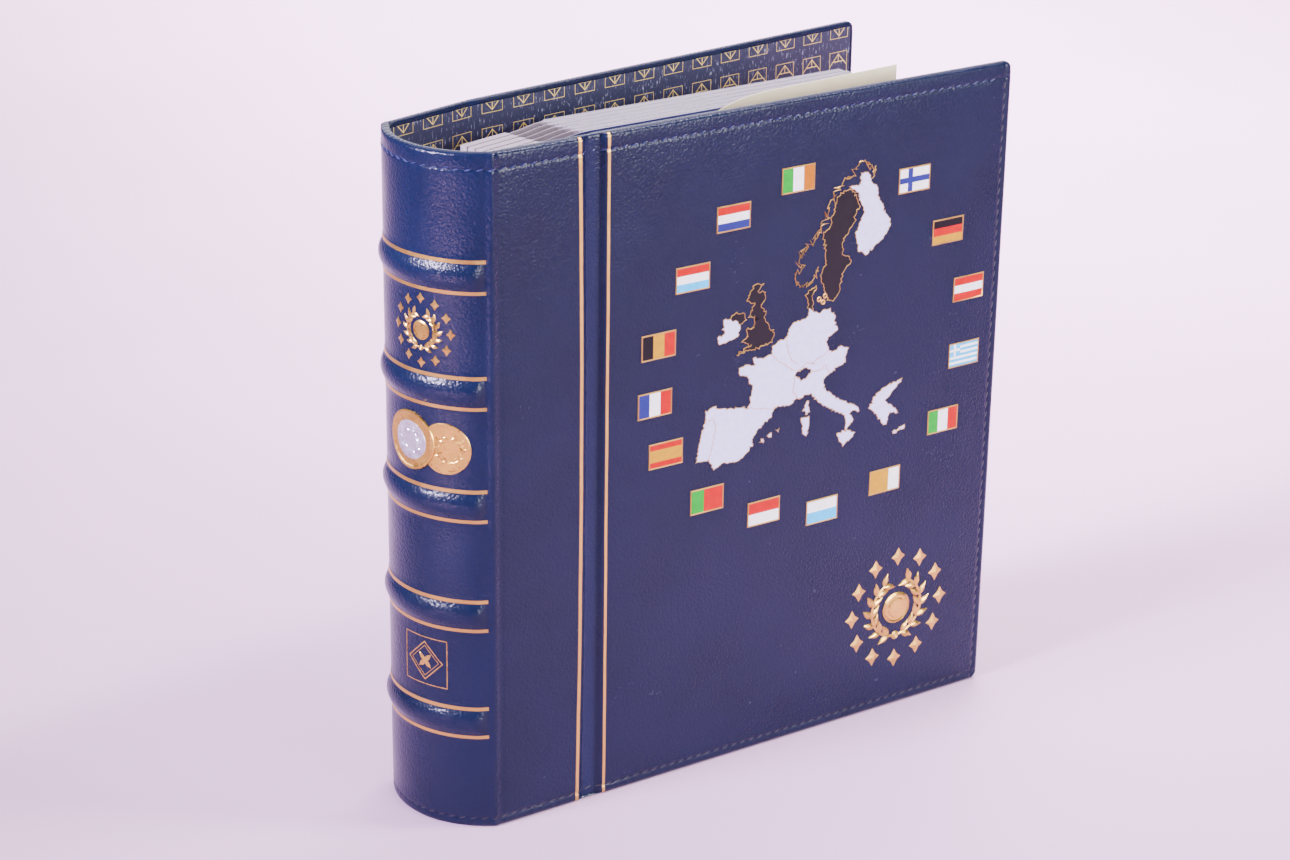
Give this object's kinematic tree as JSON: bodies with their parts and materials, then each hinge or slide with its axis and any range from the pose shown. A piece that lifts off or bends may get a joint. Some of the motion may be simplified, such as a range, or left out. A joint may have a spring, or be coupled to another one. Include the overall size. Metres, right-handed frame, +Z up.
{
  "type": "coin album",
  "caption": "Upright ring album for coin leaves: padded covers that fold at grooves, round spine with raised bands, D-ring mechanism and hinged coin leaves.",
  "frame": {"origin": "under the middle of the album's box, on the surface that it stands on", "axes": "+X along the front cover from the spine to the fore-edge, +Y from the front cover to the back cover, +Z up"},
  "size_m": [0.2728, 0.0896, 0.28],
  "materials": {
    "leather": "semi-gloss grained leatherette, navy",
    "padding": "thin foam",
    "board": "grey board",
    "lining": "dark navy endpaper with a small gold repeat",
    "steel": "polished nickel plate",
    "leaf": "pale grey-white",
    "film": "clear film",
    "sheet": "uncoated cream"
  },
  "bodies": {
    "back_strip": {"back_strip_leather": "leather", "back_strip_board": "board", "back_strip_lining": "lining", "ring_housing": "steel", "housing_rivets": "steel", "trigger_pins": "steel", "leaf_1_binding": "leaf", "leaf_2_binding": "leaf", "leaf_3_binding": "leaf", "leaf_4_binding": "leaf", "leaf_5_binding": "leaf", "leaf_6_binding": "leaf", "leaf_7_binding": "leaf"},
    "spine": {"spine_leather": "leather", "spine_board": "board", "spine_lining": "lining", "raised_bands": "leather"},
    "front_strip": {"front_strip_leather": "leather", "front_strip_board": "board", "front_strip_lining": "lining"},
    "front_cover": {"front_cover_leather": "leather", "front_cover_padding": "padding", "front_cover_board": "board", "front_cover_lining": "lining"},
    "back_cover": {"back_cover_leather": "leather", "back_cover_padding": "padding", "back_cover_board": "board", "back_cover_lining": "lining"},
    "straight_rings": {"straight_half_rings": "steel", "straight_side_blade": "steel"},
    "curved_rings": {"curved_half_rings": "steel", "curved_side_blade": "steel"},
    "top_trigger": {"top_trigger": "steel"},
    "bottom_trigger": {"bottom_trigger": "steel"},
    "leaf_1": {"leaf_1_frame": "leaf", "leaf_1_front_film": "film", "leaf_1_back_film": "film", "index_sheet": "sheet"},
    "leaf_2": {"leaf_2_frame": "leaf", "leaf_2_front_film": "film", "leaf_2_back_film": "film"},
    "leaf_3": {"leaf_3_frame": "leaf", "leaf_3_front_film": "film", "leaf_3_back_film": "film"},
    "leaf_4": {"leaf_4_frame": "leaf", "leaf_4_front_film": "film", "leaf_4_back_film": "film"},
    "leaf_5": {"leaf_5_frame": "leaf", "leaf_5_front_film": "film", "leaf_5_back_film": "film"},
    "leaf_6": {"leaf_6_frame": "leaf", "leaf_6_front_film": "film", "leaf_6_back_film": "film"},
    "leaf_7": {"leaf_7_frame": "leaf", "leaf_7_front_film": "film", "leaf_7_back_film": "film"}
  },
  "joints": [
    {"name": "spine_crease_back", "type": "hinge", "parent": "back_strip", "child": "spine", "pos_m": [-0.12636, 0.01263, 0.14], "axis": [0, 0, -1], "range_deg": [0, 90]},
    {"name": "spine_crease_front", "type": "hinge", "parent": "spine", "child": "front_strip", "pos_m": [-0.11257, -0.04484, 0.14], "axis": [0, 0, -1], "range_deg": [0, 60]},
    {"name": "front_cover_hinge", "type": "hinge", "parent": "front_strip", "child": "front_cover", "pos_m": [-0.06782, -0.04194, 0.14], "axis": [0, 0, -1], "range_deg": [0, 110]},
    {"name": "back_cover_hinge", "type": "hinge", "parent": "back_strip", "child": "back_cover", "pos_m": [-0.08217, 0.02025, 0.14], "axis": [0, 0, 1], "range_deg": [-6, 90]},
    {"name": "top_trigger_pivot", "type": "hinge", "parent": "back_strip", "child": "top_trigger", "pos_m": [-0.1045, 0.0115, 0.2592], "axis": [-0.9724, -0.2334, 0], "range_deg": [0, 25]},
    {"name": "bottom_trigger_pivot", "type": "hinge", "parent": "back_strip", "child": "bottom_trigger", "pos_m": [-0.1045, 0.0115, 0.0208], "axis": [0.9724, 0.2334, 0], "range_deg": [0, 25]},
    {"name": "straight_rings_pivot", "type": "hinge", "parent": "back_strip", "child": "straight_rings", "pos_m": [-0.0941, 0.01533, 0.14], "axis": [0, 0, 1], "range_deg": [0, 10]},
    {"name": "curved_rings_pivot", "type": "hinge", "parent": "back_strip", "child": "curved_rings", "pos_m": [-0.1155, 0.0102, 0.14], "axis": [0, 0, -1], "range_deg": [0, 10]},
    {"name": "leaf_1_web", "type": "hinge", "parent": "back_strip", "child": "leaf_1", "pos_m": [-0.06762, -0.01832, 0.14], "axis": [0, 0, -1], "range_deg": [0, 90]},
    {"name": "leaf_2_web", "type": "hinge", "parent": "back_strip", "child": "leaf_2", "pos_m": [-0.0686, -0.01423, 0.14], "axis": [0, 0, -1], "range_deg": [0, 90]},
    {"name": "leaf_3_web", "type": "hinge", "parent": "back_strip", "child": "leaf_3", "pos_m": [-0.06958, -0.01015, 0.14], "axis": [0, 0, -1], "range_deg": [0, 90]},
    {"name": "leaf_4_web", "type": "hinge", "parent": "back_strip", "child": "leaf_4", "pos_m": [-0.07056, -0.00606, 0.14], "axis": [0, 0, -1], "range_deg": [0, 90]},
    {"name": "leaf_5_web", "type": "hinge", "parent": "back_strip", "child": "leaf_5", "pos_m": [-0.07154, -0.00198, 0.14], "axis": [0, 0, -1], "range_deg": [0, 90]},
    {"name": "leaf_6_web", "type": "hinge", "parent": "back_strip", "child": "leaf_6", "pos_m": [-0.07252, 0.00211, 0.14], "axis": [0, 0, -1], "range_deg": [0, 90]},
    {"name": "leaf_7_web", "type": "hinge", "parent": "back_strip", "child": "leaf_7", "pos_m": [-0.0735, 0.00619, 0.14], "axis": [0, 0, -1], "range_deg": [0, 90]}
  ],
  "couplings": [
    {"joint": "curved_rings_pivot", "follows": "straight_rings_pivot", "ratio": 1},
    {"joint": "top_trigger_pivot", "follows": "straight_rings_pivot", "ratio": 2.5},
    {"joint": "bottom_trigger_pivot", "follows": "straight_rings_pivot", "ratio": 2.5},
    {"joint": "leaf_1_web", "follows": "front_cover_hinge", "ratio": 0.8},
    {"joint": "leaf_2_web", "follows": "front_cover_hinge", "ratio": 0.69},
    {"joint": "leaf_3_web", "follows": "front_cover_hinge", "ratio": 0.58},
    {"joint": "leaf_4_web", "follows": "front_cover_hinge", "ratio": 0.47},
    {"joint": "leaf_5_web", "follows": "front_cover_hinge", "ratio": 0.36},
    {"joint": "leaf_6_web", "follows": "front_cover_hinge", "ratio": 0.25},
    {"joint": "leaf_7_web", "follows": "front_cover_hinge", "ratio": 0.14}
  ]
}
